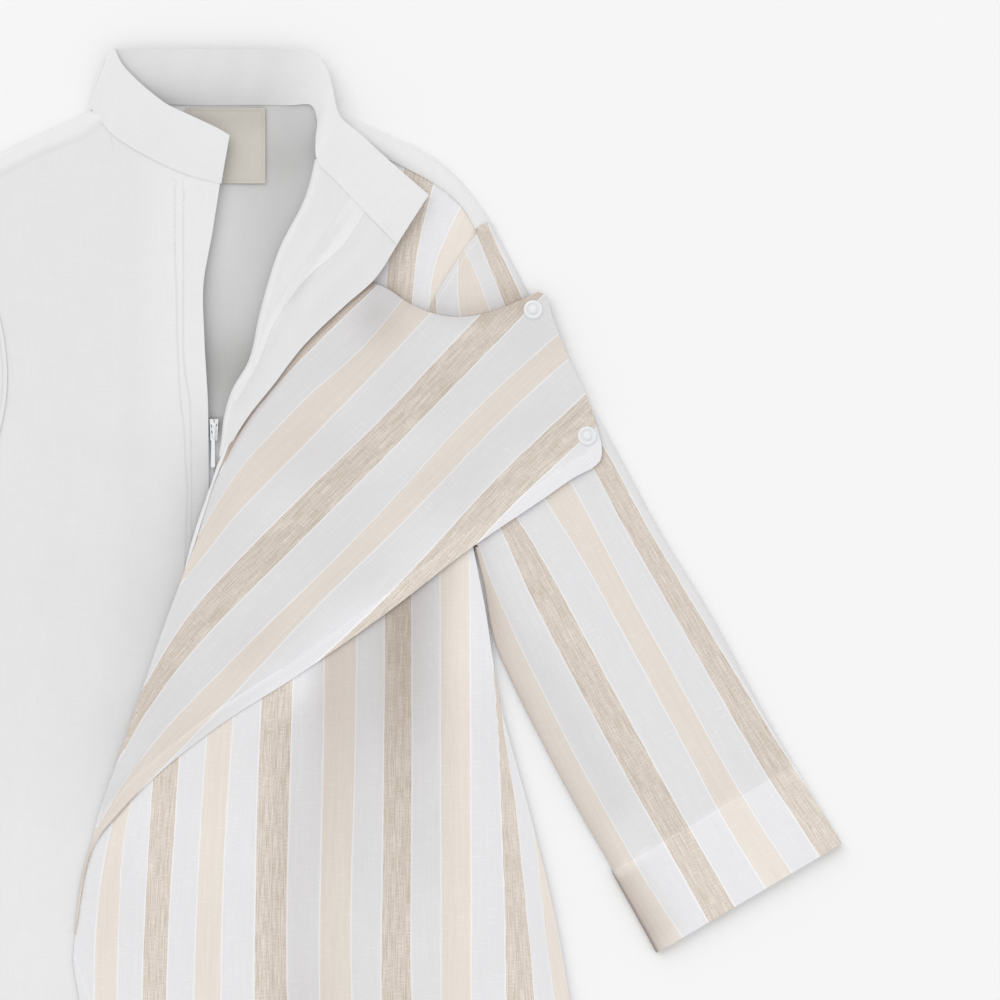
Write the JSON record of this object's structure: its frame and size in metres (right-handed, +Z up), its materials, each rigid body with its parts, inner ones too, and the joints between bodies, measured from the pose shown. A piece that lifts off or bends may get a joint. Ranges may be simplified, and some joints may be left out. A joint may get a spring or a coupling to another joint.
{
  "type": "thobe robe",
  "caption": "Child's long white robe laid flat, with a stand collar, a front zip and a striped wrap-over front unsnapped and turned back on a diagonal.",
  "frame": {"origin": "middle of the robe's bounding box on the surface it lies on", "axes": "+X towards the wearer's left sleeve, +Y towards the collar, +Z up out of the surface it lies on"},
  "size_m": [0.7534, 0.9002, 0.0096],
  "materials": {
    "white_cotton": "matt plain weave",
    "striped_linen": "matt slub weave",
    "label_cloth": "matt woven tape",
    "white_plastic": "moulded"
  },
  "bodies": {
    "robe": {"back_panel": "white_cotton", "left_shoulder_turn": "white_cotton", "right_shoulder_turn": "white_cotton", "right_front": "white_cotton", "left_front": "white_cotton", "left_wrap_front": "striped_linen", "collar_band": "white_cotton", "left_sleeve": "striped_linen", "right_sleeve": "white_cotton", "neck_label": "label_cloth", "zip_tape_right": "white_cotton", "zip_tape_left": "white_cotton", "zip_chain": "white_cotton", "zip_slider": "white_plastic", "snap_upper": "white_plastic", "snap_lower": "white_plastic"},
    "pull_tab": {"zip_pull": "white_plastic"}
  },
  "joints": [
    {"name": "pull_tab_hinge", "type": "hinge", "parent": "robe", "child": "pull_tab", "pos_m": [0.0002, 0.219, 0.00595], "axis": [-1, 0, 0], "range_deg": [0, 140]}
  ]
}
